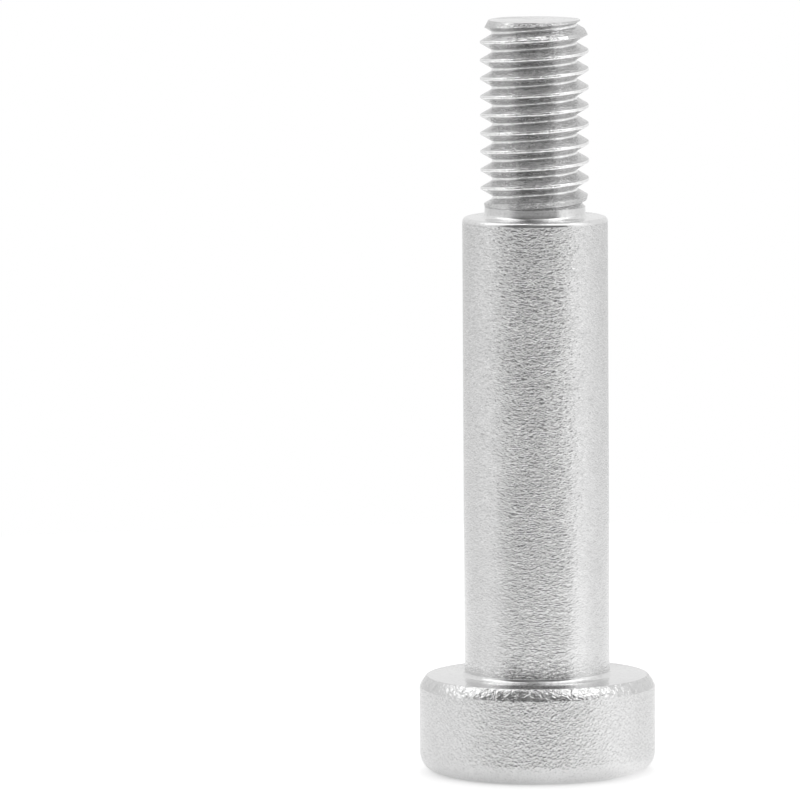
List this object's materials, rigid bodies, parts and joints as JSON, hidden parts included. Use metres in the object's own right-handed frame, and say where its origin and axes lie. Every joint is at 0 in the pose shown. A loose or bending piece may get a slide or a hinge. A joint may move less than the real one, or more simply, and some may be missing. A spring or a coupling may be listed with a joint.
{
  "type": "shoulder bolt",
  "caption": "Stainless hex socket shoulder bolt with a smooth round head, a ground cylindrical shoulder and a fine right-hand thread at the tip.",
  "frame": {"origin": "middle of the head's socket end, on the surface that the bolt stands on", "axes": "+Z along the bolt's axis, from the head to the tip of the thread; the socket's corners lie on X"},
  "size_m": [0.013, 0.013, 0.0414],
  "materials": {
    "stainless_steel": "ground shoulder with a fine satin grain, plain turned head, rolled thread"
  },
  "bodies": {
    "root": {"shoulder_bolt": "stainless_steel"}
  },
  "joints": []
}
